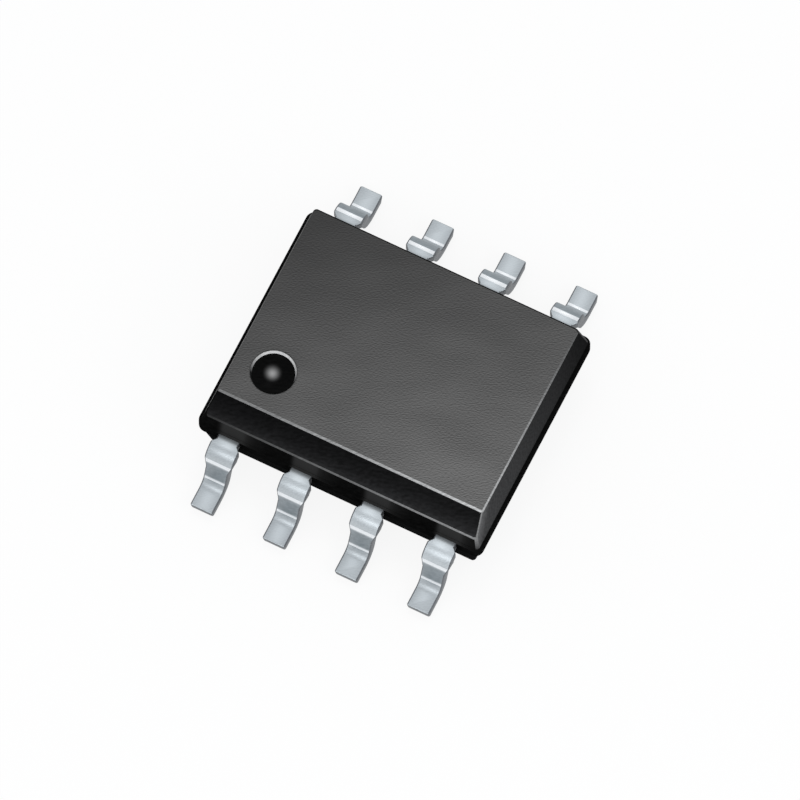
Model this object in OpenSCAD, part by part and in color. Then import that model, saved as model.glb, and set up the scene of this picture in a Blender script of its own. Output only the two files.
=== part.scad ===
// Eight-lead small-outline chip: a moulded body around a lead frame, a die and its bond wires.
// Millimetres. X runs along the rows of leads, Z is up, and the feet stand on Z = 0.

/* [Body] */
// Length of both mould halves where they meet the parting band
body_l = 4.9; // [4.8:0.05:5.2]
// Width of both mould halves where they meet the parting band
body_w = 3.96; // [3.8:0.02:4.1]
// Height of the body from its underside to its top
body_h = 1.5; // [1.4:0.05:1.65]
// Gap under the body when the feet rest on a board
standoff = 0.1; // [0.08:0.01:0.2]
// Height of the lead frame's middle above the body's underside
frame_level = 0.77; // [0.7:0.01:0.85]
// Draft of the upper half's walls, in degrees
upper_draft = 11; // [5:0.5:15]
// Draft of the lower half's walls, in degrees
lower_draft = 10; // [5:0.5:15]
// Width and height of the bevel along the top edge on the side of lead 1
bevel = 0.345; // [0.25:0.005:0.45]
// How far the parting band stands out past both halves
band_proud = 0.045; // [0.03:0.005:0.08]
// Corner radius of the parting band
band_r = 0.14; // [0.1:0.01:0.25]
// Radius of the ejector mark on the underside
ejector_r = 0.45; // [0.3:0.05:0.6]
// Depth of the ejector mark
ejector_depth = 0.03; // [0.01:0.01:0.06]

/* [Dimple beside lead 1] */
// Radius of the dimple at its rim
mark_r = 0.38; // [0.3:0.01:0.45]
// Distance from the dimple's centre to the top face's end edge and to the bevel
mark_inset = 0.655; // [0.55:0.005:0.75]
// Depth of the dimple's side
mark_depth = 0.08; // [0.05:0.01:0.12]
// Slope of the dimple's side, in degrees from upright
mark_slope = 24; // [10:1:35]
// Further depth of the dished floor at its middle
mark_dish = 0.1; // [0.05:0.01:0.15]

/* [Leads] */
// Spacing of the leads along a row
pitch = 1.27; // [1.2:0.01:1.3]
// Distance between the toes of the two rows
lead_span = 6.06; // [5.9:0.02:6.2]
// Width of the leg and the foot
lead_w = 0.39; // [0.33:0.01:0.45]
// Thickness of the lead frame
lead_t = 0.2; // [0.17:0.01:0.25]
// Width of the lead where it leaves the body
neck_w = 0.37; // [0.3:0.01:0.45]
// Width over the stubs left by the trimmed tie between the leads
stub_w = 0.49; // [0.46:0.01:0.6]
// Distance from the parting band to the start of the stub
stub_gap = 0.08; // [0.05:0.01:0.11]
// Distance from the parting band to where the knee starts to bend
knee_reach = 0.15; // [0.13:0.005:0.18]
// Inner radius of the knee
knee_r = 0.05; // [0.03:0.01:0.08]
// Length over which the leg narrows below the knee
leg_taper = 0.2; // [0.1:0.01:0.25]
// Inner radius of the heel
heel_r = 0.18; // [0.1:0.01:0.2]
// Slope of the trimmed toe, in degrees from upright
toe_rake = 12; // [0:1:15]

/* [Lead frame inside] */
// Length of the die pad
pad_l = 2.8; // [2.4:0.1:3]
// Width of the die pad
pad_w = 2; // [1.8:0.05:2.2]
// How far the die pad is sunk below the leads
downset = 0.2; // [0.1:0.02:0.3]
// Width of the bars that carry the die pad
tie_w = 0.35; // [0.25:0.05:0.45]
// Moulding left over the end of each bar, without the parting band
tie_cover = 0.15; // [0.1:0.01:0.25]
// Gap between the bond fingers and the die pad or its bars
finger_gap = 0.2; // [0.15:0.01:0.25]
// Width of the bond fingers' tips
bond_w = 0.56; // [0.5:0.01:0.65]
// Length of the bond fingers' tips
bond_l = 0.3; // [0.25:0.01:0.35]

/* [Die and wires] */
// Length of the die
die_l = 1.3; // [1:0.05:1.6]
// Width of the die
die_w = 1.1; // [0.9:0.05:1.4]
// Thickness of the die
die_t = 0.25; // [0.15:0.01:0.3]
// Thickness of the adhesive under the die
attach_t = 0.025; // [0.015:0.005:0.04]
// How far the adhesive spreads past the die
attach_rim = 0.06; // [0.02:0.01:0.1]
// Distance from the die's edges to its outermost wires
bond_inset = 0.12; // [0.08:0.01:0.16]
// Diameter of a bond wire
wire_d = 0.03; // [0.02:0.005:0.04]
// Radius of the ball that starts each wire
ball_r = 0.045; // [0.035:0.005:0.06]
// Height of the ball
ball_h = 0.02; // [0.015:0.005:0.03]
// Height at which each wire starts to bend over
loop_rise = 0.1; // [0.08:0.01:0.16]
// Radius of each wire's bend
loop_r = 0.06; // [0.05:0.01:0.1]
// Length of the flattened end on the lead
stitch_l = 0.06; // [0.04:0.01:0.08]

/* [Hidden] */
$fn = 96;
// Leads in one row, and in both
row_count = 4;
pin_count = 2 * row_count;
// Levels of the lead frame
frame_top = standoff + frame_level + lead_t / 2;
frame_bottom = frame_top - lead_t;
// Heights of the two mould halves, above and below the band
upper_h = standoff + body_h - frame_top;
lower_h = frame_bottom - standoff;
// Outer size of the parting band
band_l = body_l + 2 * band_proud;
band_w = body_w + 2 * band_proud;
// Half size of the top face along X
top_x = body_l / 2 - upper_h * tan(upper_draft);
// Edges of the bevel across the body
bevel_low_y = body_w / 2 - (upper_h - bevel) * tan(upper_draft);
bevel_top_y = bevel_low_y - bevel;
// Radius of the dimple's floor, and of the sphere that dishes it
mark_floor_r = mark_r - mark_depth * tan(mark_slope);
mark_sphere_r = (pow(mark_floor_r, 2) + pow(mark_dish, 2)) / (2 * mark_dish);
// Sine and cosine of the leg's lean, from a triangle with sides 7, 24 and 25, so that turned pieces meet exactly
lean_sin = 0.28;
lean_cos = 0.96;
// Outer radius of the knee, its axis and the heel's axis, with the straight leg between them
knee_out = knee_r + lead_t;
knee_y = band_w / 2 + knee_reach;
knee_z = frame_top - knee_out;
heel_z = lead_t + heel_r;
bends_apart = knee_out + heel_r;
leg_l = (knee_z - heel_z + bends_apart * lean_sin) / lean_cos;
heel_y = knee_y + bends_apart * lean_cos + leg_l * lean_sin;
// Length of the flat foot, from the heel to the toe
foot_l = lead_span / 2 - heel_y;
// Where a lead starts to widen to its stub, beside the band
stub_y = band_w / 2 + stub_gap;
// Inner ends of the bond fingers in the middle of a row and at its ends
mid_tip_y = pad_w / 2 + finger_gap;
end_tip_y = tie_w / 2 + finger_gap;
// Distance of a row's end leads from the middle, and of their landings' inner edge
end_x = (row_count - 1) / 2 * pitch;
land_x = pad_l / 2 + finger_gap;
// Levels of the die pad and of what lies on it
pad_bottom = frame_bottom - downset;
pad_top = frame_top - downset;
die_bottom = pad_top + attach_t;
die_top = die_bottom + die_t;
// Outer end of each bar of the die pad
tie_end = body_l / 2 - tie_cover;
// Spacing of the wires along the die, and their distance from its middle across it
bond_pitch = (die_l - 2 * bond_inset) / (row_count - 1);
bond_y = die_w / 2 - bond_inset;
// Sides of a wire's section, steps in its bend, and the height of a section's middle over its flat side
wire_sides = 8;
wire_steps = 6;
wire_r = wire_d / 2;
flat_rise = cos(180 / wire_sides);
// Spread and thinning of a wire's flattened end
stitch_spread = 1.6;
stitch_thin = 0.4;
// Space that cutting shapes reach past what they cut
past = 1;

// Side of the row that a lead stands on, and its place along the row
function side(pin) = pin <= row_count ? -1 : 1;
function place(pin) = pin <= row_count ? pin - 1 : pin_count - pin;
function lead_x(pin) = (place(pin) - (row_count - 1) / 2) * pitch;
function at_end(pin) = place(pin) == 0 || place(pin) == row_count - 1;

// Where a wire starts on the die and where it ends on its lead
function wire_start(pin) = [(place(pin) - (row_count - 1) / 2) * bond_pitch, side(pin) * bond_y];
function wire_end(pin) = at_end(pin)
    ? [sign(lead_x(pin)) * (land_x + end_x + neck_w / 2) / 2, side(pin) * (end_tip_y + bond_l / 2)]
    : [lead_x(pin), side(pin) * (mid_tip_y + bond_l / 2)];

// One section of a wire: distance along, height, heading above level, half width and half height
function section(along, high, heading, half_w, half_h) = [
    for (k = [0 : wire_sides - 1])
        let (turn = (k + 0.5) * 360 / wire_sides)
        [
            along - half_h * sin(turn) * sin(heading),
            half_w * cos(turn),
            high + half_h * sin(turn) * cos(heading),
        ]
];

// Downward slope of the straight run that touches the bend and ends at the stitch
function fall(run, drop) =
    let (from_axis = [run - loop_r, loop_rise + drop])
    atan2(from_axis.y, from_axis.x) + asin(loop_r / norm(from_axis));

// Every section of a wire, from the ball on the die to the flattened end
function wire_sections(run, drop) =
    let (slope = fall(run, drop - wire_r * flat_rise))
    concat(
        [
            section(0, 0, 90, ball_r, ball_r),
            section(0, ball_h, 90, ball_r, ball_r),
            section(0, ball_h + ball_r - wire_r, 90, wire_r, wire_r),
        ],
        [
            for (i = [0 : wire_steps])
                let (turn = i / wire_steps * (90 + slope))
                section(
                    loop_r * (1 - cos(turn)),
                    loop_rise + loop_r * sin(turn),
                    90 - turn,
                    wire_r,
                    wire_r
                )
        ],
        [
            section(run, wire_r * flat_rise - drop, 0, wire_r, wire_r),
            section(
                run + stitch_l,
                wire_r * stitch_thin * flat_rise - drop,
                0,
                wire_r * stitch_spread,
                wire_r * stitch_thin
            ),
        ]
    );

// Skin of a sweep through sections, as triangles
function skin(sections) =
    let (last = len(sections) - 1)
    concat(
        [[for (k = [0 : wire_sides - 1]) k]],
        [[for (k = [wire_sides - 1 : -1 : 0]) last * wire_sides + k]],
        [
            for (i = [0 : last - 1])
                for (k = [0 : wire_sides - 1])
                    [
                        i * wire_sides + k,
                        (i + 1) * wire_sides + k,
                        (i + 1) * wire_sides + (k + 1) % wire_sides,
                    ]
        ],
        [
            for (i = [0 : last - 1])
                for (k = [0 : wire_sides - 1])
                    [
                        i * wire_sides + k,
                        (i + 1) * wire_sides + (k + 1) % wire_sides,
                        i * wire_sides + (k + 1) % wire_sides,
                    ]
        ]
    );

// A flat outline stood up and drawn along X, its first axis along Y
module along_x(length) {
    rotate([90, 0, 90])
        linear_extrude(height = length, center = true)
            children();
}

// A flat outline stood up and drawn along Y, its first axis along X
module along_y(length) {
    rotate([90, 0, 0])
        linear_extrude(height = length, center = true)
            children();
}

// A rectangle with round corners
module rounded_plate(length, width, radius) {
    square([length - 2 * radius, width], center = true);
    square([length, width - 2 * radius], center = true);
    for (x = [-1, 1])
        for (y = [-1, 1])
            translate([x * (length / 2 - radius), y * (width / 2 - radius)])
                circle(r = radius);
}

// One mould half without its bevel: the walls lean in by the draft over its height
module drafted_half(height, draft) {
    lean = height * tan(draft);
    intersection() {
        along_x(body_l)
            polygon([
                [-body_w / 2, 0],
                [body_w / 2, 0],
                [body_w / 2 - lean, height],
                [lean - body_w / 2, height],
            ]);
        along_y(body_w)
            polygon([
                [-body_l / 2, 0],
                [body_l / 2, 0],
                [body_l / 2 - lean, height],
                [lean - body_l / 2, height],
            ]);
    }
}

// The bevel along the side of lead 1, as the wedge that it takes away
module bevel_cut() {
    along_x(body_l + 2 * past)
        polygon([
            [-bevel_low_y - past, frame_top + upper_h - bevel - past],
            [-bevel_top_y + past, frame_top + upper_h + past],
            [-bevel_low_y - past, frame_top + upper_h + past],
        ]);
}

// The dimple beside lead 1, with a sloping side and a dished floor
module mark_cut() {
    translate([mark_inset - top_x, mark_inset - bevel_top_y, frame_top + upper_h - mark_depth]) {
        cylinder(r1 = mark_floor_r, r2 = mark_r, h = mark_depth);
        translate([0, 0, mark_depth])
            cylinder(r = mark_r, h = past);
        intersection() {
            translate([0, 0, mark_sphere_r - mark_dish])
                sphere(r = mark_sphere_r);
            translate([0, 0, -mark_dish])
                cylinder(r = mark_floor_r, h = mark_dish);
        }
    }
}

// Black epoxy body with its two drafted halves, moulded around everything inside
module mould_body() {
    color("#1d1e20")
        difference() {
            union() {
                translate([0, 0, frame_top])
                    drafted_half(upper_h, upper_draft);
                translate([0, 0, frame_bottom])
                    linear_extrude(height = lead_t)
                        rounded_plate(band_l, band_w, band_r);
                translate([0, 0, frame_bottom])
                    mirror([0, 0, 1])
                        drafted_half(lower_h, lower_draft);
            }
            bevel_cut();
            mark_cut();
            translate([0, 0, standoff - past])
                cylinder(r = ejector_r, h = past + ejector_depth);
            for (pin = [1 : pin_count]) {
                lead(pin);
                bond_wire(pin);
            }
            die_pad();
            die_attach();
            die();
        }
}

// Turns about the X axis by the leg's lean, or back again with the sine negative
module leaned(sine) {
    multmatrix([
        [1, 0, 0, 0],
        [0, lean_cos, -sine, 0],
        [0, sine, lean_cos, 0],
    ])
        children();
}

// A bend of a lead about the X axis, from straight up round to the leaning leg
module bend(radius, width) {
    intersection() {
        rotate([0, 90, 0])
            difference() {
                cylinder(r = radius + lead_t, h = width, center = true);
                cylinder(r = radius, h = width + past, center = true);
            }
        translate([-width, 0, -past])
            cube([2 * width, past, 2 * past]);
        leaned(lean_sin)
            translate([-width, -past, 0])
                cube([2 * width, 2 * past, past]);
    }
}

// Leg seen from the front: as wide as the stub at the knee, narrowing to the foot's width
module leg_outline() {
    polygon([
        [stub_w / 2, 0],
        [-stub_w / 2, 0],
        [-lead_w / 2, -leg_taper],
        [-lead_w / 2, -leg_l],
        [lead_w / 2, -leg_l],
        [lead_w / 2, -leg_taper],
    ]);
}

// Formed end of a lead: round the knee, down the leg, round the heel and out to the toe
module formed_end() {
    translate([0, knee_y, knee_z]) {
        bend(knee_r, stub_w);
        leaned(lean_sin) {
            translate([0, knee_r + lead_t / 2, 0])
                along_y(lead_t)
                    leg_outline();
            translate([0, bends_apart, -leg_l])
                leaned(-lean_sin) {
                    rotate([180, 0, 0])
                        bend(heel_r, lead_w);
                    translate([0, 0, -heel_z])
                        along_x(lead_w)
                            polygon([
                                [0, 0],
                                [foot_l - lead_t * tan(toe_rake), 0],
                                [foot_l, lead_t],
                                [0, lead_t],
                            ]);
                }
        }
    }
}

// Outline of a lead from above: a neck that leaves the body and widens to the stub at the knee
module neck_outline(start_y) {
    polygon([
        [neck_w / 2, start_y],
        [neck_w / 2, stub_y],
        [stub_w / 2, knee_y],
        [-stub_w / 2, knee_y],
        [-neck_w / 2, stub_y],
        [-neck_w / 2, start_y],
    ]);
}

// Bond finger in the middle of a row: a broad tip facing the die pad
module mid_outline() {
    shoulder = (bond_w - neck_w) / 2;
    polygon([
        [-bond_w / 2, mid_tip_y],
        [bond_w / 2, mid_tip_y],
        [bond_w / 2, mid_tip_y + bond_l],
        [neck_w / 2, mid_tip_y + bond_l + shoulder],
        [-neck_w / 2, mid_tip_y + bond_l + shoulder],
        [-bond_w / 2, mid_tip_y + bond_l],
    ]);
}

// Bond finger at the end of a row: a landing that reaches in past the die pad's corner
module end_outline() {
    reach = end_x - land_x;
    shoulder = reach - neck_w / 2;
    polygon([
        [-neck_w / 2, end_tip_y],
        [reach, end_tip_y],
        [reach, end_tip_y + bond_l],
        [neck_w / 2, end_tip_y + bond_l + shoulder],
        [-neck_w / 2, end_tip_y + bond_l + shoulder],
    ]);
}

// Tin-plated lead: the level part cut to its outline from above, and the formed end
module lead(pin) {
    color("#b9c0c8")
        translate([lead_x(pin), 0, 0])
            mirror([lead_x(pin) > 0 ? 1 : 0, 0, 0])
                mirror([0, side(pin) < 0 ? 1 : 0, 0]) {
                    translate([0, 0, frame_bottom])
                        linear_extrude(height = lead_t)
                            if (at_end(pin)) {
                                neck_outline(end_tip_y);
                                end_outline();
                            } else {
                                neck_outline(mid_tip_y);
                                mid_outline();
                            }
                    formed_end();
                }
}

// Sunk copper pad with the two bars that carried it in the lead frame
module die_pad() {
    color("#b87348") {
        translate([-pad_l / 2, -pad_w / 2, pad_bottom])
            cube([pad_l, pad_w, lead_t]);
        for (end = [0, 1])
            mirror([end, 0, 0])
                along_y(tie_w)
                    polygon([
                        [pad_l / 2 - tie_w, pad_bottom],
                        [pad_l / 2, pad_bottom],
                        [pad_l / 2 + downset, frame_bottom],
                        [tie_end, frame_bottom],
                        [tie_end, frame_top],
                        [pad_l / 2 + downset, frame_top],
                        [pad_l / 2, pad_top],
                        [pad_l / 2 - tie_w, pad_top],
                    ]);
    }
}

// Film of silver-filled adhesive, a little larger than the die
module die_attach() {
    color("#8d8f90")
        translate([0, 0, pad_top])
            linear_extrude(height = attach_t)
                rounded_plate(die_l + 2 * attach_rim, die_w + 2 * attach_rim, attach_rim);
}

// Silicon die
module die() {
    color("#4c5560")
        translate([-die_l / 2, -die_w / 2, die_bottom])
            cube([die_l, die_w, die_t]);
}

// Gold wire from the die to a bond finger, looping over the die's edge
module bond_wire(pin) {
    path = wire_end(pin) - wire_start(pin);
    sections = wire_sections(norm(path) - stitch_l, die_top - frame_top);
    color("#d9a93c")
        translate([wire_start(pin).x, wire_start(pin).y, die_top])
            rotate([0, 0, atan2(path.y, path.x)])
                polyhedron(points = [for (ring = sections) each ring], faces = skin(sections));
}

mould_body();
for (pin = [1 : pin_count]) {
    lead(pin);
    bond_wire(pin);
}
die_pad();
die_attach();
die();
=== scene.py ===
# %% [markdown]
# A small chip with eight leads: a black moulded body and tin-plated legs.
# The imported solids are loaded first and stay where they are. The body and the
# leads are then modelled again with fine edge radii and smooth bends, because
# a camera this close shows every edge as a line of light. What is sealed inside
# keeps its own solid and only gets a finish.

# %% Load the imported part
import math

import bmesh
import bpy
from mathutils import Matrix, Vector


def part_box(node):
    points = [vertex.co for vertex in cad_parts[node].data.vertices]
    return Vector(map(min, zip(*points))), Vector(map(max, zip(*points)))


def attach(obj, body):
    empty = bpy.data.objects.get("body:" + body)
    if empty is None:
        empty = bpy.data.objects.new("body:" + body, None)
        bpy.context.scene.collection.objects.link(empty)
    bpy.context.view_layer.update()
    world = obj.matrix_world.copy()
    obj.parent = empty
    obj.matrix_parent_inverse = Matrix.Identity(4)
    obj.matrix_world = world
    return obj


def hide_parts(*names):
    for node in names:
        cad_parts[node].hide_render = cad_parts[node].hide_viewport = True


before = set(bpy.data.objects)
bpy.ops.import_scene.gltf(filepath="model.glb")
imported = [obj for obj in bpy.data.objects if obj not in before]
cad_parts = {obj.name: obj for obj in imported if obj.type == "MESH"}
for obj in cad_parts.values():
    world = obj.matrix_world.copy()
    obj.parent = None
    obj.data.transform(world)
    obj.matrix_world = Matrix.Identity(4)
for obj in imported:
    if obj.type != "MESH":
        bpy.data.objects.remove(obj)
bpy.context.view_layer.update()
MM = 0.001
print("nodes loaded:", len(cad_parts))

# %% [markdown]
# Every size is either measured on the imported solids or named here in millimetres.
# The meshes are also modelled in millimetres, because operators such as bevel
# merge what is closer than a micron, and are scaled to metres at the end.

# %% Sizes read from the solids
body_low, body_high = (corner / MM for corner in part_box("mould_body"))
lead_low, lead_high = (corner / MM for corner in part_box("lead_6"))
end_low, _ = (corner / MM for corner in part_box("lead_5"))

band_x, band_y = body_high.x, body_high.y
underside_z, top_z = body_low.z, body_high.z
frame_top = lead_high.z
toe_y = lead_high.y
print("body", [round(v, 3) for v in body_high - body_low], "toe at", round(toe_y, 3))

# %% Sizes that the boxes don't give
lead_t = 0.2
pitch = 1.27
band_proud = 0.045
band_r, half_r = 0.14, 0.06
upper_slope, lower_slope = math.tan(math.radians(11)), math.tan(math.radians(10))
bevel_size = 0.345
edge_r, band_edge_r = 0.022, 0.008

frame_bottom = frame_top - lead_t
half_x, half_y = band_x - band_proud, band_y - band_proud
upper_lean = (top_z - frame_top) * upper_slope
lower_lean = (frame_bottom - underside_z) * lower_slope
low_edge_z = top_z - bevel_size
bevel_low_y = half_y - (low_edge_z - frame_top) * upper_slope
top_x, top_far_y, top_near_y = half_x - upper_lean, half_y - upper_lean, bevel_low_y - bevel_size
print("top face", round(2 * top_x, 3), "by", round(top_far_y + top_near_y, 3))

# %% [markdown]
# Two helpers serve every piece. One turns a finished bmesh into an object in metres,
# rides it on the frame and lets it stand for its solid. Shading is smooth everywhere
# with normals weighted by area, so flat faces stay flat and only the fine radii bend
# the light. The other rounds edges, and finds them by the angle between their faces.

# %% Finish a piece
weld_mm, near_mm = 1e-5, 1e-4
area_weight = 80


def finish_piece(bm, name, node, materials):
    bmesh.ops.remove_doubles(bm, verts=bm.verts, dist=weld_mm)
    bmesh.ops.recalc_face_normals(bm, faces=bm.faces)
    for face in bm.faces:
        face.smooth = True
    bmesh.ops.scale(bm, vec=(MM, MM, MM), verts=bm.verts)
    mesh = bpy.data.meshes.new(name)
    bm.to_mesh(mesh)
    bm.free()
    for material in materials:
        mesh.materials.append(material)
    piece = bpy.data.objects.new(name, mesh)
    bpy.context.scene.collection.objects.link(piece)
    weighted = piece.modifiers.new("area_normals", "WEIGHTED_NORMAL")
    weighted.weight = area_weight
    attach(piece, "root")
    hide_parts(node)
    print(name, "faces", len(mesh.polygons))


# %% Find and round sharp edges
def sharp_edges(bm, degrees):
    limit = math.radians(degrees)
    return [e for e in bm.edges if e.is_manifold and e.calc_face_angle() > limit]


def round_edges(bm, edges, radius, steps=3):
    bmesh.ops.bevel(
        bm, geom=edges, offset=radius, offset_type="OFFSET", segments=steps,
        profile=0.5, affect="EDGES", clamp_overlap=True, material=-1,
    )


# %% [markdown]
# A finish is a graph of nodes, and most finishes take the same few steps: read where a
# point lies on its piece, stretch that between two places, bend it along a curve and
# mix two colours by it. In the editor each step is a node and its wires. Here a helper
# adds the node, feeds it and hands on its result, so that a finish reads like a recipe.

# %% Add one node and feed it
def feed(tree, socket, value):
    if isinstance(value, bpy.types.NodeSocket):
        tree.links.new(value, socket)
    else:
        socket.default_value = value


def add_node(tree, kind, inputs, **settings):
    node = tree.nodes.new("ShaderNode" + kind)
    for name, setting in settings.items():
        setattr(node, name, setting)
    for socket, value in inputs.items():
        feed(tree, node.inputs[socket], value)
    return node


# %% Places and sums
def object_place(tree):
    return add_node(tree, "TexCoord", {}).outputs["Object"]


def place_along(tree, axis):
    return add_node(tree, "SeparateXYZ", {"Vector": object_place(tree)}).outputs[axis]


def number_step(tree, operation, *values):
    return add_node(tree, "Math", dict(enumerate(values)), operation=operation).outputs[0]


def vector_step(tree, operation, *values):
    node = add_node(tree, "VectorMath", dict(enumerate(values)), operation=operation)
    return node.outputs["Value" if operation in ("DOT_PRODUCT", "LENGTH") else "Vector"]


# %% Stretch a value, bend it along a curve, mix by it
def stretched(tree, value, start, end, low=0.0, high=1.0, steps="LINEAR"):
    inputs = {"Value": value, "From Min": start, "From Max": end, "To Min": low, "To Max": high}
    return add_node(tree, "MapRange", inputs, interpolation_type=steps).outputs["Result"]


def curved(tree, value, stops):
    node = add_node(tree, "FloatCurve", {"Value": value})
    points = node.mapping.curves[0].points
    points[0].location, points[1].location = stops[0], stops[-1]
    for stop in stops[1:-1]:
        points.new(*stop)
    for point in points:
        point.handle_type = "AUTO_CLAMPED"
    node.mapping.update()
    return node.outputs["Value"]


def mixed(tree, share, first, second, data_type="RGBA", **settings):
    inputs = {"Factor": share, "A": first, "B": second}
    return add_node(tree, "Mix", inputs, data_type=data_type, **settings).outputs["Result"]


# %% [markdown]
# Finishes vary at two sizes: a fine grain and a broad, faint unevenness. One node
# group makes both from object coordinates, so every material can ask for its own
# grain size. The grain is drawn out along one direction, like the pressed grain of
# the mould. A step aside in the same noise tells which flank of a grain is lit, and
# their difference paints that light and shade into the colour: a painted relief that
# soft light alone would wash out.

# %% Shared grain group
grain_turn, grain_stretch = math.radians(26), 2.2
flank_step, broad_scale, middle_tone = 0.6, 0.04, 0.5


def new_group(name, inputs, outputs):
    group = bpy.data.node_groups.new(name, "ShaderNodeTree")
    for in_out, sockets in (("INPUT", inputs), ("OUTPUT", outputs)):
        for socket in sockets:
            group.interface.new_socket(socket, in_out=in_out, socket_type="NodeSocketFloat")
    return group


def noise_at(tree, vector, scale=1.0):
    return add_node(tree, "TexNoise", {"Vector": vector, "Scale": scale, "Detail": 1.0}).outputs["Fac"]


def make_grain_group():
    group = new_group("grain", ["Scale"], ["Fine", "PaintedRelief", "Broad"])
    inside = group.nodes.new("NodeGroupInput")
    outside = group.nodes.new("NodeGroupOutput")
    drawn = {"Rotation": (0.0, 0.0, grain_turn), "Scale": (grain_stretch, 1.0, 1.0)}
    pressed = add_node(group, "Mapping", {"Vector": object_place(group), **drawn}, vector_type="TEXTURE")
    sized = vector_step(group, "MULTIPLY", pressed.outputs["Vector"], inside.outputs["Scale"])
    fine = noise_at(group, sized)
    beside = noise_at(group, vector_step(group, "ADD", sized, (0.0, flank_step, 0.0)))
    # The relief is painted light and shade: one flank of each grain paler, the other darker.
    painted_relief = number_step(group, "ADD", number_step(group, "SUBTRACT", fine, beside), middle_tone)
    feed(group, outside.inputs["Fine"], fine)
    feed(group, outside.inputs["PaintedRelief"], painted_relief)
    feed(group, outside.inputs["Broad"], noise_at(group, sized, broad_scale))
    return group


grain = make_grain_group()
print("grain group outputs:", [s.name for s in grain.interface.items_tree if s.in_out == "OUTPUT"])

# %% [markdown]
# The body is painted paler towards the corner by lead 4: a painted light, brighter
# where more light falls. A second group measures how far a point lies towards that
# corner, so that the top, its edges and the walls can fade together.

# %% Shared group for the painted corner light
light_way = (0.55, -0.83, 0.0)
light_start, light_end = -2.83, 2.9


def make_painted_light_group():
    group = new_group("painted_corner_light", [], ["Rubbed"])
    outside = group.nodes.new("NodeGroupOutput")
    towards = vector_step(group, "DOT_PRODUCT", object_place(group), light_way)
    feed(group, outside.inputs["Rubbed"], stretched(group, towards, light_start * MM, light_end * MM))
    return group


def painted_light_between(tree, low, high):
    corner = add_node(tree, "Group", {}, node_tree=painted_corner_light)
    return stretched(tree, corner.outputs["Rubbed"], 0.0, 1.0, low, high)


painted_corner_light = make_painted_light_group()
print("second group:", painted_corner_light.name)

# %% [markdown]
# Every material starts from the same grained one: the grain varies its colour, its
# roughness and its bump. Later steps shade that colour, or tint it, by a share that
# changes over the piece.

# %% Shade or tint a material's colour
def shade(material, factor):
    tree = material.node_tree
    base = tree.nodes["Principled BSDF"].inputs["Base Color"]
    feed(tree, base, mixed(tree, 1.0, base.links[0].from_socket, factor, blend_type="MULTIPLY"))


def tint(material, share, colour):
    tree = material.node_tree
    base = tree.nodes["Principled BSDF"].inputs["Base Color"]
    feed(tree, base, mixed(tree, share, base.links[0].from_socket, (*colour, 1.0)))


# %% A material with grain in its colour, roughness and bump
noise_span = (0.3, 0.7)


def grained_material(
    name, dark, light, rough=(0.45, 0.6), grain_mm=0.05, bump_mm=0.002,
    metallic=0.0, specular=0.5, painted_light=None, broad_share=0.35,
):
    material = bpy.data.materials.new(name)
    material.use_nodes = True
    tree = material.node_tree
    marks = add_node(tree, "Group", {"Scale": 1.0 / (grain_mm * MM)}, node_tree=grain)
    tone = mixed(tree, broad_share, marks.outputs["PaintedRelief"], marks.outputs["Broad"], data_type="FLOAT")
    bump = add_node(tree, "Bump", {"Height": marks.outputs["Fine"], "Distance": bump_mm * MM})
    look = {
        "Base Color": mixed(tree, stretched(tree, tone, *noise_span), (*dark, 1.0), (*light, 1.0)),
        "Roughness": stretched(tree, tone, *noise_span, *rough),
        "Normal": bump.outputs["Normal"],
        "Metallic": metallic,
        "Specular IOR Level": specular,
    }
    for socket, value in look.items():
        feed(tree, tree.nodes["Principled BSDF"].inputs[socket], value)
    # Painted light towards the corner by lead 4, when a material asks for it.
    if painted_light:
        shade(material, painted_light_between(tree, *painted_light))
    return material


# %% [markdown]
# The epoxy shows several finishes. Its top is sandy and scatters light to a dark
# grey. The bevel and the wall under it come from a smoother part of the mould and
# look almost black. The walls, the parting band and the lower half are copies of one
# epoxy in different greys by the side they face, darker where the body stands in
# shade: painted shade and light. The end wall, like the top, carries painted light
# that grows towards the corner by lead 4. The parting band and the lower half are matt.
# The edges that face that corner carry painted highlights, the long one most.

# %% Epoxy finishes of the faces
matt = {"rough": (0.5, 0.65)}
epoxy_top = grained_material(
    "epoxy_sandy_top", (0.0263, 0.026, 0.0257), (0.0816, 0.0807, 0.0799), rough=(0.5, 0.66),
    grain_mm=0.02, bump_mm=0.004, specular=0.3, painted_light=(0.46, 2.36), broad_share=0.22,
)
epoxy_wall = grained_material(
    "epoxy_smooth_wall", (0.0126, 0.0126, 0.013), (0.0231, 0.0231, 0.0242),
    specular=0.0, painted_light=(0.2, 1.65),
)
epoxy_end = grained_material(
    "epoxy_end_painted_light", (0.009, 0.009, 0.0092), (0.013, 0.013, 0.0133),
    specular=0.0, painted_light=(-2.26, 5.0),
)
epoxy_lead_wall = grained_material(
    "epoxy_lead_wall", (0.003, 0.003, 0.003), (0.0055, 0.0055, 0.0055), specular=0.0,
)
epoxy_back = grained_material(
    "epoxy_back_wall", (0.013, 0.013, 0.0132), (0.022, 0.022, 0.0224), specular=0.12,
)
epoxy_lower = grained_material(
    "epoxy_lower_half", (0.008, 0.008, 0.0081), (0.014, 0.014, 0.0142), **matt, specular=0.1,
)
epoxy_lower_front = grained_material(
    "epoxy_lower_front", (0.006, 0.006, 0.0061), (0.011, 0.011, 0.0112), **matt, specular=0.0,
)
epoxy_band = grained_material(
    "epoxy_matt_band", (0.003, 0.003, 0.003), (0.006, 0.006, 0.006), rough=(0.5, 0.7), specular=0.0,
)
print("epoxy finishes:", epoxy_top.name, epoxy_wall.name, epoxy_end.name, epoxy_band.name)
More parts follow.
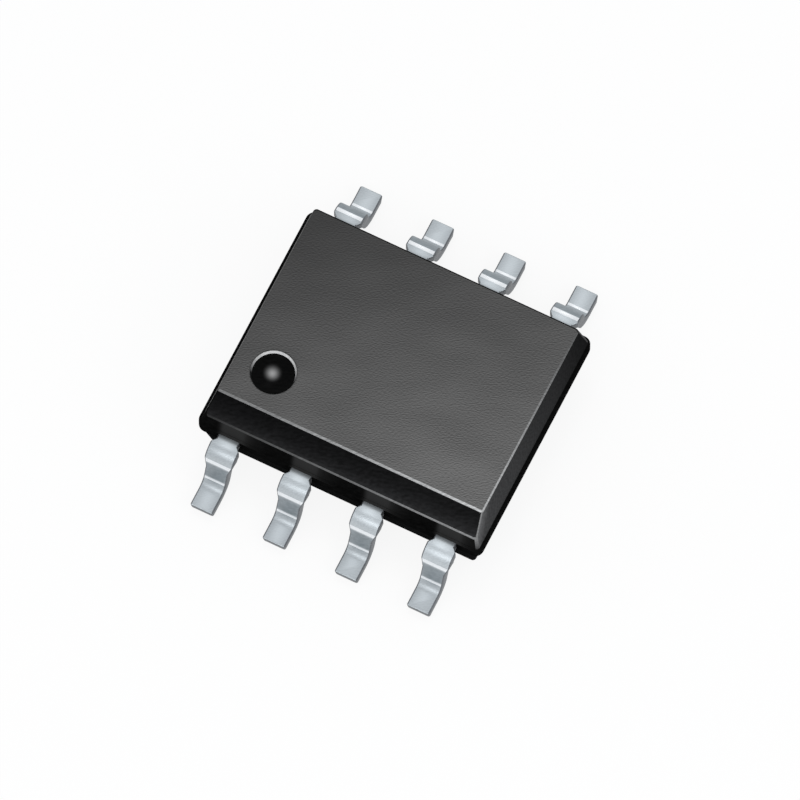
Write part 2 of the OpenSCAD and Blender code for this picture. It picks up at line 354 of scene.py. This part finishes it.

# %% Epoxy finishes of the edges
# The pale edges and the corner are painted highlights, lines of light along the rounded edges; they share a
# fine grain.
painted_highlights = {"grain_mm": 0.03, "bump_mm": 0.001}
pale = {"dark": (0.11, 0.111, 0.112), "light": (0.21, 0.211, 0.212), "rough": (0.35, 0.5), "specular": 0.3}
epoxy_edge = grained_material("epoxy_edge_painted_highlight", **pale, **painted_highlights, painted_light=(-1.5, 3.35))
epoxy_end_edge = grained_material("epoxy_end_edge_painted_highlight", **pale, **painted_highlights, painted_light=(-1.5, 2.7))
epoxy_faint = grained_material(
    "epoxy_faint_painted_highlight", (0.025, 0.0252, 0.0255), (0.04, 0.0402, 0.0405), rough=(0.4, 0.5), **painted_highlights,
    specular=0.1, painted_light=(-8.4, 8.0),
)
epoxy_corner = grained_material(
    "epoxy_corner_painted_highlight", (0.18, 0.181, 0.182), (0.26, 0.261, 0.262), rough=(0.4, 0.5), **painted_highlights,
    specular=0.1,
)
print("worn edges:", epoxy_edge.name, epoxy_end_edge.name, epoxy_faint.name, epoxy_corner.name)

# %% [markdown]
# The dimple needs two finishes of its own. Its floor is black, and the middle shows
# a soft pale spot, a painted highlight. The spot fades with the distance from its own
# centre, a little beside the dimple's axis. The dimple's side is painted pale as a
# lit crescent, and this painted light fades from the far side to the near one.

# %% Finish of the dimple's floor
mark_r, mark_inset, mark_depth, mark_dish = 0.38, 0.655, 0.08, 0.1
mark_centre = Vector((mark_inset - top_x, mark_inset - top_near_y, top_z))
spot_r, spot_grey, spot_softness = 0.19, 0.34, 2.0
spot_centre = mark_centre + Vector((-0.033, 0.031, 0.0))


def dimple_floor_material():
    material = grained_material(
        "epoxy_dimple_painted_highlight", (0.002, 0.002, 0.002), (0.004, 0.004, 0.004), rough=(0.25, 0.35),
        bump_mm=0.0005, specular=0.02,
    )
    tree = material.node_tree
    aside = vector_step(tree, "SUBTRACT", object_place(tree), spot_centre * MM)
    level = vector_step(tree, "MULTIPLY", aside, (1.0, 1.0, 0.0))
    away = vector_step(tree, "LENGTH", level)
    fade = stretched(tree, away, 0.0, spot_r * MM, 1.0, 0.0, steps="SMOOTHSTEP")
    # The pale spot is a painted highlight.
    tint(material, number_step(tree, "POWER", fade, spot_softness), [spot_grey] * 3)
    return material


epoxy_pin = dimple_floor_material()
print("dimple at", [round(v, 3) for v in mark_centre], "with a spot of radius", spot_r)

# %% Finish of the dimple's side
side_light_way = Vector((-0.21, 0.98, 0.0))
side_light_start, side_light_end = -0.2 * mark_r, 0.75 * mark_r


def dimple_side_material():
    material = grained_material(
        "epoxy_dimple_side_painted_light", (0.6, 0.6, 0.6), (0.85, 0.85, 0.85), rough=(0.6, 0.8), **painted_highlights,
        specular=0.2,
    )
    tree = material.node_tree
    along = vector_step(tree, "DOT_PRODUCT", object_place(tree), side_light_way)
    axis = mark_centre.dot(side_light_way)
    # The crescent of painted light on the dimple's side fades from the far side to the near one.
    shade(material, stretched(tree, along, (axis + side_light_start) * MM, (axis + side_light_end) * MM))
    return material


epoxy_side = dimple_side_material()
print("side shaded from", round(side_light_start, 3), "to", round(side_light_end, 3), "of the axis")

# %% [markdown]
# The bevel is black under its upper edge and greyer lower down, where it catches more
# light from the sheet below. A curve over the height paints that light. The painted
# highlight on the near corner is dimmed in the same way, down towards the band.

# %% Shade a material by height
bevel_stops = [(0.0, 1.0), (0.08, 0.9), (0.26, 0.62), (0.5, 0.43), (0.7, 0.35), (1.0, 0.29)]
corner_stops = [(0.0, 0.15), (1.0, 1.0)]


def shade_by_height(material, low, high, stops):
    tree = material.node_tree
    rise = stretched(tree, place_along(tree, "Z"), low * MM, high * MM)
    shade(material, curved(tree, rise, stops))


shade_by_height(epoxy_wall, low_edge_z, top_z, bevel_stops)
shade_by_height(epoxy_corner, frame_top, low_edge_z, corner_stops)
print("bevel from height", round(low_edge_z, 3), "to", round(top_z, 3))

# %% [markdown]
# The corner by lead 4 carries the most painted light. The end wall is painted palest
# along its edge, and this dies away over the end wall. How deep a point of the end wall
# lies behind the bevel and behind the side wall says how near that edge is.

# %% Painted light along the near corner
edge_gain, bevel_reach, wall_reach = 2.3, 0.25, 0.12
bevel_spot, bevel_normal = Vector((0.0, -bevel_low_y, low_edge_z)), Vector((0.0, -1.0, 1.0))
wall_spot, wall_normal = Vector((0.0, -half_y, frame_top)), Vector((0.0, -1.0, upper_slope))


def depth_behind(tree, spot, normal, reach):
    outwards = normal.normalized() / reach
    inwards = vector_step(tree, "DOT_PRODUCT", object_place(tree), -outwards / MM)
    return number_step(tree, "ADD", inwards, spot.dot(outwards))


def paint_light_near_edge(material):
    tree = material.node_tree
    behind_bevel = depth_behind(tree, bevel_spot, bevel_normal, bevel_reach)
    behind_wall = depth_behind(tree, wall_spot, wall_normal, wall_reach)
    nearest = number_step(tree, "MINIMUM", behind_bevel, behind_wall)
    shade(material, stretched(tree, nearest, 0.0, 1.0, edge_gain, 1.0))


paint_light_near_edge(epoxy_end)
print("end wall rubbed over", bevel_reach, "behind the bevel and", wall_reach, "behind the wall")

# %% [markdown]
# On the lead 1 side the wall is black, but above each lead it catches the light that
# the tin throws back. These grey patches repeat at the pitch of the leads, so the
# fraction left after dividing by the pitch draws all four. A curve makes each one
# start sharply and die away slowly.

# %% Grey patches above the leads
patch_grey = 0.03
patch_stops = [(0.0, 0.0), (0.3, 0.0), (0.42, 1.0), (0.62, 1.0), (0.72, 0.48), (0.82, 0.18), (1.0, 0.0)]


def light_above_leads(material):
    tree = material.node_tree
    pitches = number_step(tree, "DIVIDE", place_along(tree, "X"), pitch * MM)
    within = number_step(tree, "FRACT", pitches)
    tint(material, curved(tree, within, patch_stops), [patch_grey] * 3)


light_above_leads(epoxy_lead_wall)
print("grey patches every", pitch)

# %% [markdown]
# The body is pressed in a two-part mould. Each half is a block whose walls lean
# in so that it releases, and a thin band stands out where the halves meet. It
# could be two scaled cubes, but the corners have their own radius at each level,
# so it is lofted: a plate with rounded corners at each level, bridged to the next.
# The band is thicker than the leads by a film of epoxy, so that no face of it lies in
# the plane of a face of theirs.

# %% Rounded plates bridged into the body
film = 0.003
levels = [
    (half_x - lower_lean, half_y - lower_lean, underside_z, half_r),
    (half_x, half_y, frame_bottom - film, half_r),
    (band_x, band_y, frame_bottom - film, band_r),
    (band_x, band_y, frame_top + film, band_r),
    (half_x, half_y, frame_top + film, half_r),
    (top_x, top_far_y, top_z, half_r),
]


def rounded_plate(bm, x, y, z, radius, corner_steps=6):
    made = bmesh.ops.create_grid(bm, x_segments=1, y_segments=1, size=1.0)
    bmesh.ops.scale(bm, vec=(x, y, 1.0), verts=made["verts"])
    bmesh.ops.translate(bm, vec=(0.0, 0.0, z), verts=made["verts"])
    rounded = bmesh.ops.bevel(
        bm, geom=made["verts"], offset=radius, offset_type="OFFSET", segments=corner_steps,
        profile=0.5, affect="VERTICES", material=-1,
    )
    return rounded["verts"][0].link_faces[0]


body = bmesh.new()
plates = [rounded_plate(body, *level) for level in levels]
loops = [list(plate.edges) for plate in plates]
for lower, upper in zip(loops, loops[1:]):
    bmesh.ops.bridge_loops(body, edges=lower + upper)
bmesh.ops.delete(body, geom=plates[1:-1], context="FACES_ONLY")
bmesh.ops.recalc_face_normals(body, faces=body.faces)
print("lofted body faces", len(body.faces))

# %% [markdown]
# One long top edge is cut off at 45 degrees, on the side of lead 1. A plane
# slices it away and the open cut is filled. Then all sharp edges get a fine
# radius, because that is what draws the bright lines along a real body. The narrow
# steps at the parting band have room for a smaller one only.

# %% Bevel of the lead 1 side and fine edge radii
body_edge_degrees = 25
cut = bmesh.ops.bisect_plane(
    body, geom=body.verts[:] + body.edges[:] + body.faces[:],
    plane_co=bevel_spot, plane_no=bevel_normal, clear_outer=True,
)
cut_edges = [g for g in cut["geom_cut"] if isinstance(g, bmesh.types.BMEdge)]
bmesh.ops.edgeloop_fill(body, edges=cut_edges)
bmesh.ops.recalc_face_normals(body, faces=body.faces)


def on_band(edge):
    return all(v.co.z < frame_top + 2 * edge_r for v in edge.verts)


round_edges(body, [e for e in sharp_edges(body, body_edge_degrees) if not on_band(e)], edge_r)
round_edges(body, [e for e in sharp_edges(body, body_edge_degrees) if on_band(e)], band_edge_r)
print("body with edge radii, faces", len(body.faces))

# %% [markdown]
# The dimple beside lead 1 and the ejector mark underneath are round pockets, so
# each is half a section spun about its axis. The flat face around it is opened
# and filled again between its outline and the pocket's rim. A narrow margin on both
# sides of that filling keeps the flat face's shading flat.

# %% Turned pockets
rim_r, margin = 0.013, 0.02
rim_turns = (0.0, 0.4, 0.8, 1.2)


def flat_face_at(bm, z):
    level = [f for f in bm.faces if all(abs(v.co.z - z) < weld_mm for v in f.verts)]
    return max(level, key=lambda f: f.calc_area())


def rounded_rim(radius, z, into):
    ring = [(radius + rim_r + margin, z)]
    arc = [
        (radius + rim_r * (1 - math.sin(turn)), z + into * rim_r * (1 - math.cos(turn)))
        for turn in rim_turns
    ]
    return ring + arc


def turned_pocket(bm, centre, into, radius, walls, steps=64):
    def off_axis(v):
        return (v.co.xy - centre.xy).length

    flat_face = flat_face_at(bm, centre.z)
    bmesh.ops.inset_region(bm, faces=[flat_face], thickness=margin, use_even_offset=True)
    section = rounded_rim(radius, centre.z, into) + walls
    points = [bm.verts.new((centre.x + r, centre.y, z)) for r, z in section]
    edges = [bm.edges.new(pair) for pair in zip(points, points[1:])]
    bmesh.ops.spin(
        bm, geom=points + edges, cent=centre, axis=(0.0, 0.0, 1.0),
        angle=2 * math.pi, steps=steps, use_merge=True,
    )
    outer_r = section[0][0]
    turned = [v for v in bm.verts if off_axis(v) < outer_r + near_mm]
    bmesh.ops.remove_doubles(bm, verts=turned, dist=weld_mm)
    boundary = [e for e in bm.edges if e.is_boundary]
    rim = [e for e in boundary if all(abs(off_axis(v) - outer_r) < near_mm for v in e.verts)]
    pocket = [f for f in bm.faces if all(off_axis(v) < outer_r + near_mm for v in f.verts)]
    outline = list(flat_face.edges)
    bmesh.ops.delete(bm, geom=[flat_face], context="FACES_ONLY")
    bmesh.ops.triangle_fill(bm, use_beauty=True, edges=outline + rim, normal=(0.0, 0.0, -into))
    return pocket


# %% Dimple and ejector mark
mark_slope, lip_depth = math.tan(math.radians(24)), 0.024
mark_floor_r = mark_r - mark_depth * mark_slope
dish_stops = (1.0, 0.94, 0.8, 0.6, 0.4, 0.2, 0.0)
lip = [(mark_r - lip_depth * mark_slope, top_z - lip_depth)]
dish = [(mark_floor_r * s, top_z - mark_depth - mark_dish * (1 - s * s)) for s in dish_stops]
dimple_faces = turned_pocket(body, mark_centre, -1, mark_r, lip + dish)

ejector_r, ejector_depth = 0.45, 0.03
ejector_stops = (1.0, 0.95, 0.0)
ejector_floor = [(ejector_r * s, underside_z + ejector_depth) for s in ejector_stops]
turned_pocket(body, Vector((0.0, 0.0, underside_z)), 1, ejector_r, ejector_floor)
print("dimple faces", len(dimple_faces))

# %% [markdown]
# A face gets its finish by where it lies and which way it looks, as a painter would mask
# the body. This holds when a size changes, which picking faces by number would not. The
# words from hint to most say how much of a face's normal has to point one way.

# %% Finishes on the body's faces
epoxy_finishes = [
    epoxy_top, epoxy_wall, epoxy_end, epoxy_band, epoxy_edge, epoxy_end_edge, epoxy_faint, epoxy_corner,
    epoxy_back, epoxy_lower, epoxy_lower_front, epoxy_lead_wall, epoxy_pin, epoxy_side,
]
(
    TOP, WALL, END, BAND, EDGE, END_EDGE, FAINT, CORNER,
    BACK, LOWER, LOWER_FRONT, LEAD_WALL, PIN, LIP,
) = range(len(epoxy_finishes))
hint, part, clear, half, most = 0.1, 0.2, 0.3, 0.5, 0.9
faint_turn = (0.73, 0.97)


def body_finish(face):
    middle, normal = face.calc_center_median(), face.normal
    on_top_edge = middle.z > top_z - edge_r
    if middle.z > top_z - near_mm or (on_top_edge and normal.x < -hint and normal.y < hint):
        return TOP
    # The lower half is painted darker on the lead 1 side, as shade.
    if middle.z < frame_bottom - film - near_mm:
        return LOWER_FRONT if normal.y < -clear else LOWER
    if middle.z < frame_top + film + band_edge_r:
        return LEAD_WALL if normal.z > half and normal.y < hint and middle.y < -half_y else BAND
    # The front-left corner and the far top edge take the band's black: painted shade.
    if (normal.x < -hint and normal.y < -hint) or (on_top_edge and normal.y > hint):
        return BAND
    if normal.y > clear or normal.x < -clear:
        return BACK
    # The near corner and the top edges that face the light carry painted highlights.
    if normal.x > part and normal.y < -part:
        return CORNER
    if on_top_edge and normal.y < -hint:
        return EDGE
    if on_top_edge and normal.x > hint:
        return END_EDGE
    if abs(middle.z - low_edge_z) < edge_r and faint_turn[0] < -normal.y < faint_turn[1]:
        return FAINT
    # The near wall is painted black as shade; the end wall and the bevel take their own greys.
    if normal.y < -most:
        return LEAD_WALL
    return END if normal.x > most else WALL


def dimple_finish(face):
    middle = face.calc_center_median()
    if middle.z > top_z - lip_depth:
        return TOP
    return LIP if middle.z > top_z - mark_depth else PIN


body.normal_update()
bmesh.ops.recalc_face_normals(body, faces=body.faces)
for face in body.faces:
    face.material_index = body_finish(face)
for face in dimple_faces:
    face.material_index = dimple_finish(face)
finish_piece(body, "moulded_body", "mould_body", epoxy_finishes)

# %% [markdown]
# The leads are stamped from thin sheet, bent twice and plated with tin. The upper
# side is satin. The sheared sides are duller, and are painted darker still as shade.
# The leg is painted dark as shade. On the far row the outside of the knee is painted
# in shade, and each ridge carries a painted highlight.

# %% Tin finishes
tin_face = grained_material(
    "tin_satin_face", (0.475, 0.513, 0.54), (0.57, 0.613, 0.642), rough=(0.4, 0.5),
    grain_mm=0.02, bump_mm=0.0003, metallic=1.0,
)
tin_side = grained_material(
    "tin_sheared_side_and_shade", (0.13, 0.14, 0.15), (0.22, 0.23, 0.245), grain_mm=0.03, metallic=1.0,
)
shaded_tin = {"dark": (0.28, 0.312, 0.333), "light": (0.365, 0.403, 0.43), "rough": (0.5, 0.6), "bump_mm": 0.0006}
tin_far_shade = grained_material("tin_far_bend_painted_shade", **shaded_tin, metallic=1.0)
tin_leg = grained_material("tin_leg_painted_shade_and_highlight", **shaded_tin, metallic=1.0)
tin_line = grained_material(
    "tin_ridge_painted_highlight", (0.88, 0.91, 0.94), (0.95, 0.97, 0.99), rough=(0.3, 0.4),
    bump_mm=0.0003, metallic=0.3,
)
tin_finishes = [tin_face, tin_side, tin_far_shade, tin_leg, tin_line]
print("tin finishes:", [m.name for m in tin_finishes])

# %% [markdown]
# Where a lead leaves the body, the tin is painted darker, a painted shade. It ends
# before the knee, where a band of painted light makes the tin a little brighter. Both
# depend on the distance from the middle of the body, so a ramp along that distance
# shades them. The shoulders are also painted paler towards the corner by lead 4, like the body.

# %% Painted shade on the necks
neck_shade_start, neck_shade_end = band_y, band_y + 0.18
neck_shade_stops = [(0.0, 0.28), (0.2, 0.39), (0.48, 0.92), (0.8, 1.0), (0.95, 0.91), (1.0, 0.89)]
shoulder_shades, foot_shade = (0.845, 1.25), 1.0


def shade_necks(material):
    tree = material.node_tree
    away = number_step(tree, "ABSOLUTE", place_along(tree, "Y"))
    reach = stretched(tree, away, neck_shade_start * MM, neck_shade_end * MM)
    shade(material, curved(tree, reach, neck_shade_stops))


def light_shoulders(material):
    tree = material.node_tree
    height = stretched(tree, place_along(tree, "Z"), 0.0, frame_top * MM)
    towards = painted_light_between(tree, *shoulder_shades)
    shade(material, mixed(tree, height, foot_shade, towards, data_type="FLOAT"))


shade_necks(tin_face)
light_shoulders(tin_face)
print("neck_shade from", round(neck_shade_start, 3), "to", round(neck_shade_end, 3))

# %% [markdown]
# A lead is a ribbon before it is anything else, so its upper surface is drawn
# first: an edge across the strip is extruded along the level part, spun through
# the knee, extruded down the leg, spun back through the heel and out to the toe.
# The edge is widened or narrowed on the way, so the width follows the strip's own
# length, as the press cut it. Solidify gives the sheet its thickness. Last, the toe
# gets the slant of its cut and rounded corners.

# %% Sizes of a lead
lead_w, neck_w, stub_w, bond_w, bond_l = 0.39, 0.37, 0.49, 0.56, 0.3
stub_gap, knee_reach, leg_taper = 0.08, 0.15, 0.2
knee_r, heel_r = 0.05, 0.18
lead_edge_r, toe_corner_r, toe_zone = 0.02, 0.03, 0.1
lean_sin, lean_cos = 0.28, 0.96
toe_rake = math.tan(math.radians(12))
row_pins = 4
row_middle = (row_pins - 1) / 2
end_pins = (1, row_pins, row_pins + 1, 2 * row_pins)

bend_turn = 90 - math.degrees(math.asin(lean_sin))
knee_out = knee_r + lead_t
bends_apart = knee_out + heel_r
knee_y, knee_z = band_y + knee_reach, frame_top - knee_out
heel_z = lead_t + heel_r
leg_l = (knee_z - heel_z + bends_apart * lean_sin) / lean_cos
heel_y = knee_y + bends_apart * lean_cos + leg_l * lean_sin
stub_y = band_y + stub_gap
mid_tip, end_tip = lead_low.y, end_low.y
land_reach = row_middle * pitch - end_low.x
leg_top_z = knee_z + knee_out * lean_sin
leg_foot_z = leg_top_z - leg_l * lean_cos
print("leg", round(leg_l, 3), "foot", round(toe_y - heel_y, 3), "landing reaches", round(land_reach, 3))

# %% [markdown]
# Each leg carries a painted highlight at its top and at its foot, a line of light
# where the bends meet it. Each line fades into the leg's painted shade, so the tin's
# colour follows the height.

# %% Painted highlights at the ends of a leg
leg_highlight_tin, leg_highlight_metallic = (0.92, 0.945, 0.97), 0.3
leg_highlight_stops = [
    (0.0, 0.85), (0.12, 0.95), (0.165, 0.7), (0.21, 0.2), (0.28, 0.02), (0.5, 0.0),
    (0.82, 0.0), (0.87, 0.08), (0.92, 0.6), (0.96, 0.95), (1.0, 1.0),
]


def paint_leg_highlights(material):
    tree = material.node_tree
    down = stretched(tree, place_along(tree, "Z"), leg_top_z * MM, leg_foot_z * MM)
    leg_highlight = curved(tree, down, leg_highlight_stops)
    tint(material, leg_highlight, leg_highlight_tin)
    metallic = stretched(tree, leg_highlight, 0.0, 1.0, 1.0, leg_highlight_metallic)
    feed(tree, tree.nodes["Principled BSDF"].inputs["Metallic"], metallic)


paint_leg_highlights(tin_leg)
print("highlighted from height", round(leg_top_z, 3), "down to", round(leg_foot_z, 3))


# %% Outline of a lead's level part
def level_outline(at_end):
    neck = neck_w / 2
    tip, inner, outer = (end_tip, land_reach, neck) if at_end else (mid_tip, bond_w / 2, bond_w / 2)
    bond_y = tip + bond_l
    return [
        (tip, inner, outer), (bond_y, inner, outer), (bond_y + inner - neck, neck, neck),
        (stub_y, neck, neck), (knee_y, stub_w / 2, stub_w / 2),
    ]


print("stations of an end lead:", [round(y, 3) for y, _, _ in level_outline(True)])


# %% Draw and bend a ribbon
def widen(edge, inner, outer):
    for v in edge.verts:
        v.co.x = inner if v.co.x > 0 else -outer


def extrude_by(bm, edge, offset):
    made = bmesh.ops.extrude_edge_only(bm, edges=[edge])["geom"]
    verts = [g for g in made if isinstance(g, bmesh.types.BMVert)]
    bmesh.ops.translate(bm, vec=offset, verts=verts)
    edges = [g for g in made if isinstance(g, bmesh.types.BMEdge)]
    return next(e for e in edges if all(v in verts for v in e.verts))


def bend(bm, edge, centre, degrees, steps=14):
    made = bmesh.ops.spin(
        bm, geom=[edge, *edge.verts], cent=centre, axis=(1.0, 0.0, 0.0),
        angle=math.radians(degrees), steps=steps,
    )
    return next(g for g in made["geom_last"] if isinstance(g, bmesh.types.BMEdge))


def lead_ribbon(bm, stations):
    edge = bm.edges.new([bm.verts.new((x, stations[0][0], frame_top)) for x in (-1.0, 1.0)])
    widen(edge, *stations[0][1:])
    for (y0, _, _), (y1, inner, outer) in zip(stations, stations[1:]):
        edge = extrude_by(bm, edge, (0.0, y1 - y0, 0.0))
        widen(edge, inner, outer)
    edge = bend(bm, edge, (0.0, knee_y, knee_z), -bend_turn)
    leg_stops = (0.0, leg_taper, leg_l)
    for start, stop in zip(leg_stops, leg_stops[1:]):
        edge = extrude_by(bm, edge, (0.0, (stop - start) * lean_sin, (start - stop) * lean_cos))
        widen(edge, lead_w / 2, lead_w / 2)
    edge = bend(bm, edge, (0.0, heel_y, heel_z), bend_turn)
    extrude_by(bm, edge, (0.0, toe_y - heel_y, 0.0))


# %% Thicken a ribbon and cut its toe
def formed_lead(pin):
    bm = bmesh.new()
    lead_ribbon(bm, level_outline(pin in end_pins))
    bmesh.ops.recalc_face_normals(bm, faces=bm.faces)
    if sum(f.normal.z * f.calc_area() for f in bm.faces) < 0:
        bmesh.ops.reverse_faces(bm, faces=bm.faces)
    bmesh.ops.solidify(bm, geom=bm.faces[:], thickness=lead_t)
    for v in bm.verts:
        if abs(v.co.y - toe_y) < near_mm and v.co.z < lead_t / 2:
            v.co.y -= lead_t * toe_rake
    at_toe = [e for e in bm.edges if all(v.co.y > toe_y - toe_zone for v in e.verts)]
    upright = [e for e in at_toe if abs(e.verts[0].co.z - e.verts[1].co.z) > lead_t / 2]
    round_edges(bm, upright, toe_corner_r)
    return bm


# %% Finish of a lead's faces
FACE, SIDE, FAR_SHADE, LEG, LINE = range(len(tin_finishes))
leg_normal = Vector((0.0, lean_cos, lean_sin))
leg_down = Vector((0.0, lean_sin, -lean_cos))
knee_end = Vector((0.0, knee_y, knee_z)) + leg_normal * knee_out
ridge_start, ridge_end, heel_start = math.radians(7), math.radians(21), math.radians(70)
same_way = 0.999


def lead_finish(face, near):
    middle, normal = face.calc_center_median(), face.normal
    if abs(normal.x) > clear or (normal.y > half and middle.y > toe_y - toe_zone):
        return SIDE
    tilt = math.atan2(normal.y, normal.z)
    on_knee = middle.z > knee_z and middle.y > knee_y
    on_heel = middle.z < heel_z and middle.y < heel_y
    on_leg = normal.dot(leg_normal) > same_way and 0.0 < (middle - knee_end).dot(leg_down) < leg_l
    # The leg is painted dark as shade; on the far row the knee's outside is painted shade and its ridges
    # carry a painted highlight.
    if on_leg or (on_heel and tilt > heel_start):
        return LEG if near else FAR_SHADE
    if not near and (on_knee or on_heel) and ridge_start < tilt < ridge_end:
        return LINE
    if not near and on_knee and tilt > ridge_end:
        return FAR_SHADE
    return FACE


print("ridge lines from", round(ridge_start, 3), "to", round(ridge_end, 3))

# %% [markdown]
# The eight leads are one shape with two kinds of finger, mirrored into place. A mirror
# turns a mesh inside out, so the last helper recalculates the normals afterwards.

# %% Place the leads
lead_edge_degrees = 60


def make_lead(pin):
    near = pin <= row_pins
    place_in_row = pin - 1 if near else 2 * row_pins - pin
    x = (place_in_row - row_middle) * pitch
    bm = formed_lead(pin)
    bmesh.ops.recalc_face_normals(bm, faces=bm.faces)
    round_edges(bm, sharp_edges(bm, lead_edge_degrees), lead_edge_r, steps=2)
    bm.normal_update()
    for face in bm.faces:
        face.material_index = lead_finish(face, near)
    mirror = (-1.0 if x > 0 else 1.0, -1.0 if near else 1.0, 1.0)
    bmesh.ops.scale(bm, vec=mirror, verts=bm.verts)
    bmesh.ops.translate(bm, vec=(x, 0.0, 0.0), verts=bm.verts)
    finish_piece(bm, f"formed_lead_{pin}", f"lead_{pin}", tin_finishes)


for pin in range(1, 2 * row_pins + 1):
    make_lead(pin)

# %% [markdown]
# The pieces sealed in the epoxy can't be seen, but they keep true finishes for
# anyone who opens the model: copper pad, silver-filled adhesive, polished
# silicon and gold wire.

# %% Finishes inside
copper = grained_material(
    "copper_pad", (0.62, 0.3, 0.18), (0.75, 0.4, 0.26), rough=(0.3, 0.5), grain_mm=0.06, metallic=1.0,
)
adhesive = grained_material(
    "silver_adhesive", (0.38, 0.38, 0.37), (0.55, 0.55, 0.54), rough=(0.5, 0.7),
    grain_mm=0.03, bump_mm=0.004,
)
silicon = grained_material(
    "polished_silicon", (0.06, 0.065, 0.075), (0.1, 0.105, 0.12), rough=(0.12, 0.2),
    grain_mm=0.08, bump_mm=0.0005, metallic=0.4,
)
gold = grained_material(
    "gold_wire", (0.75, 0.52, 0.17), (0.88, 0.64, 0.24), rough=(0.2, 0.32),
    grain_mm=0.02, bump_mm=0.0005, metallic=1.0,
)
inner_finishes = {"die_pad": copper, "die_attach": adhesive, "die": silicon}
inner_finishes.update({f"wire_{pin}": gold for pin in range(1, 2 * row_pins + 1)})
for node, material in inner_finishes.items():
    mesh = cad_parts[node].data
    mesh.materials.clear()
    mesh.materials.append(material)
print("inner pieces finished:", len(inner_finishes))

# %% [markdown]
# The chip stands on a plain white sheet. What the camera and the tin's reflections
# see of it is mostly its own white, with a share of the light that falls on it, so
# that a faint shadow stays. All other light meets it as plain paper.

# %% Floor
floor_size = 0.4
bm = bmesh.new()
bmesh.ops.create_grid(bm, x_segments=1, y_segments=1, size=floor_size)
floor_mesh = bpy.data.meshes.new("white_sheet")
bm.to_mesh(floor_mesh)
bm.free()
floor = bpy.data.objects.new("white_sheet", floor_mesh)
bpy.context.scene.collection.objects.link(floor)
print("floor half size", floor_size)

# %% Finish of the floor
fibre_scale, paper_dark, paper_light = 800.0, 0.92, 0.95
white_share = 0.88


def white_sheet_material():
    material = bpy.data.materials.new("white_sheet")
    material.use_nodes = True
    tree = material.node_tree
    shader = tree.nodes["Principled BSDF"]
    shader.inputs["Specular IOR Level"].default_value = 0.0
    shader.inputs["Roughness"].default_value = 1.0
    fibres = add_node(tree, "TexNoise", {"Vector": object_place(tree), "Scale": fibre_scale})
    greys = [(grey, grey, grey, 1.0) for grey in (paper_dark, paper_light)]
    feed(tree, shader.inputs["Base Color"], mixed(tree, fibres.outputs["Fac"], *greys))
    white = add_node(tree, "Emission", {"Strength": 1.0})
    path = add_node(tree, "LightPath", {})
    seen = number_step(tree, "ADD", path.outputs["Is Camera Ray"], path.outputs["Is Glossy Ray"])
    seen_at_all = number_step(tree, "ADD", seen, path.outputs["Is Transmission Ray"])
    share = number_step(tree, "MULTIPLY", seen_at_all, white_share)
    blend = add_node(tree, "MixShader", {0: share, 1: shader.outputs["BSDF"], 2: white.outputs["Emission"]})
    feed(tree, tree.nodes["Material Output"].inputs["Surface"], blend.outputs["Shader"])
    return material


floor_mesh.materials.append(white_sheet_material())
print("floor finish:", floor_mesh.materials[0].name)

# %% [markdown]
# The light is a pale room and four soft panels. One hangs above and a little behind,
# where the level tin mirrors it to the camera. One stands in front and one on the
# right, so that the front edges and the end wall are lit. The smallest stands low
# behind the chip and draws a line of light along the ridges of the far leads.

# %% Light
room_colour, room_strength = (0.97, 0.985, 1.0, 1.0), 0.75
world = bpy.data.worlds.new("pale_room")
bpy.context.scene.world = world
world.use_nodes = True
room = world.node_tree.nodes["Background"]
room.inputs["Color"].default_value = room_colour
room.inputs["Strength"].default_value = room_strength


def soft_panel(name, place_mm, size_mm, watts, aim_mm=(0.0, 0.0, 1.0)):
    data = bpy.data.lights.new(name, "AREA")
    data.shape = "RECTANGLE"
    data.size, data.size_y = (s * MM for s in size_mm)
    data.energy = watts
    panel = bpy.data.objects.new(name, data)
    panel.location = Vector(place_mm) * MM
    panel.rotation_mode = "QUATERNION"
    panel.rotation_quaternion = (Vector(aim_mm) - Vector(place_mm)).to_track_quat("-Z", "Y")
    bpy.context.scene.collection.objects.link(panel)
    print(name, watts, "W")


soft_panel("overhead_lamp", (-9.6, 19.4, 55.8), size_mm=(18.0, 18.0), watts=0.003, aim_mm=(0.0, 0.0, 0.0))
soft_panel("front_panel", (2.0, -30.0, 34.0), size_mm=(40.0, 14.0), watts=0.0035)
soft_panel("right_panel", (40.0, -4.0, 30.0), size_mm=(30.0, 14.0), watts=0.0025)
soft_panel("back_panel", (-9.6, 45.0, 38.5), size_mm=(14.0, 6.0), watts=0.0015)

# %% [markdown]
# The photograph was taken from far away, from the right of the lead 1 side and
# high above. A very long lens keeps the rows of leads parallel as it does there.

# %% Camera
azimuth, elevation, roll = math.radians(26.23), math.radians(68.6), math.radians(0.19)
pixels_per_mm, image_px = 63.28, 800
origin_px = (394.6, 404.0)
distance_mm = 400.0

right = Vector((math.cos(azimuth), math.sin(azimuth), 0.0))
level_back = Vector((math.sin(azimuth), -math.cos(azimuth), 0.0))
back = level_back * math.cos(elevation) + Vector((0.0, 0.0, math.sin(elevation)))
up = back.cross(right)
off_right = (image_px / 2 - origin_px[0]) / pixels_per_mm
off_up = (origin_px[1] - image_px / 2) / pixels_per_mm
stand = right * off_right + up * off_up + back * distance_mm
turn = Matrix((right, up, back)).transposed().to_4x4() @ Matrix.Rotation(roll, 4, "Z")

camera_data = bpy.data.cameras.new("long_lens")
camera_data.sensor_width = 36.0
camera_data.lens = camera_data.sensor_width * pixels_per_mm * distance_mm / image_px
camera_data.clip_start, camera_data.clip_end = 0.01, 2.0
camera = bpy.data.objects.new("long_lens", camera_data)
camera.matrix_world = Matrix.Translation(stand * MM) @ turn
bpy.context.scene.collection.objects.link(camera)
bpy.context.scene.camera = camera
bpy.context.scene.view_settings.view_transform = "Standard"
print("lens", round(camera_data.lens), "mm")
